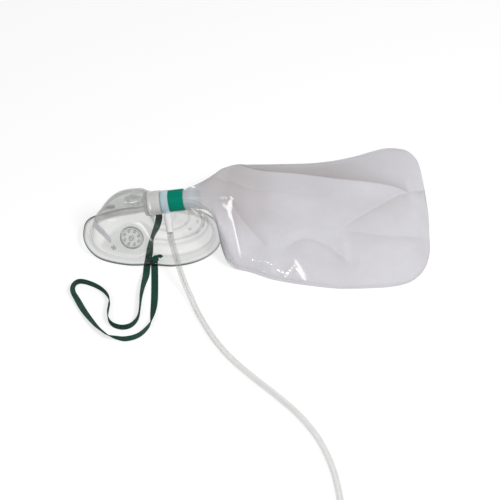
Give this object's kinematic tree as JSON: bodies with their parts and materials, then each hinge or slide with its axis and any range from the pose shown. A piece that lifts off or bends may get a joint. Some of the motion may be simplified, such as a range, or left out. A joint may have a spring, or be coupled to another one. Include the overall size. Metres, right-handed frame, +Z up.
{
  "type": "oxygen face mask",
  "caption": "Clear face mask with side exhale valves, nose clip, green strap, valved connector, film reservoir bag and clear supply tube, laid down on its rim.",
  "frame": {"origin": "on the table under the middle of the mask and bag, without strap and tube", "axes": "+X from the nose end of the mask to the closed end of the bag, +Y away from the side where the tube leaves, +Z up"},
  "size_m": [0.4065, 0.6195, 0.0745],
  "materials": {
    "clear_pvc": "clear soft PVC, glossy",
    "clip_metal": "satin soft aluminium strip",
    "flap_silicone": "translucent silicone",
    "pale_blue_plastic": "translucent pale blue plastic",
    "green_plastic": "smooth green plastic",
    "bag_film": "thin clear film, slightly milky and creased",
    "green_elastic": "dark green braided elastic",
    "clear_tubing": "clear soft tubing",
    "tie_paper": "white paper band"
  },
  "bodies": {
    "root": {"mask_shell": "clear_pvc", "nose_clip": "clip_metal", "exhale_flap_near": "flap_silicone", "exhale_flap_far": "flap_silicone", "connector_body": "pale_blue_plastic", "inhale_flap": "flap_silicone", "bag_band": "green_plastic", "reservoir_bag": "bag_film", "strap": "green_elastic", "strap_knot_near": "green_elastic", "strap_knot_far": "green_elastic", "tube_cuff": "clear_tubing", "oxygen_tube": "clear_tubing", "oxygen_tube_coil": "clear_tubing", "coil_tie": "tie_paper", "tube_end_cuff": "clear_tubing"}
  },
  "joints": []
}
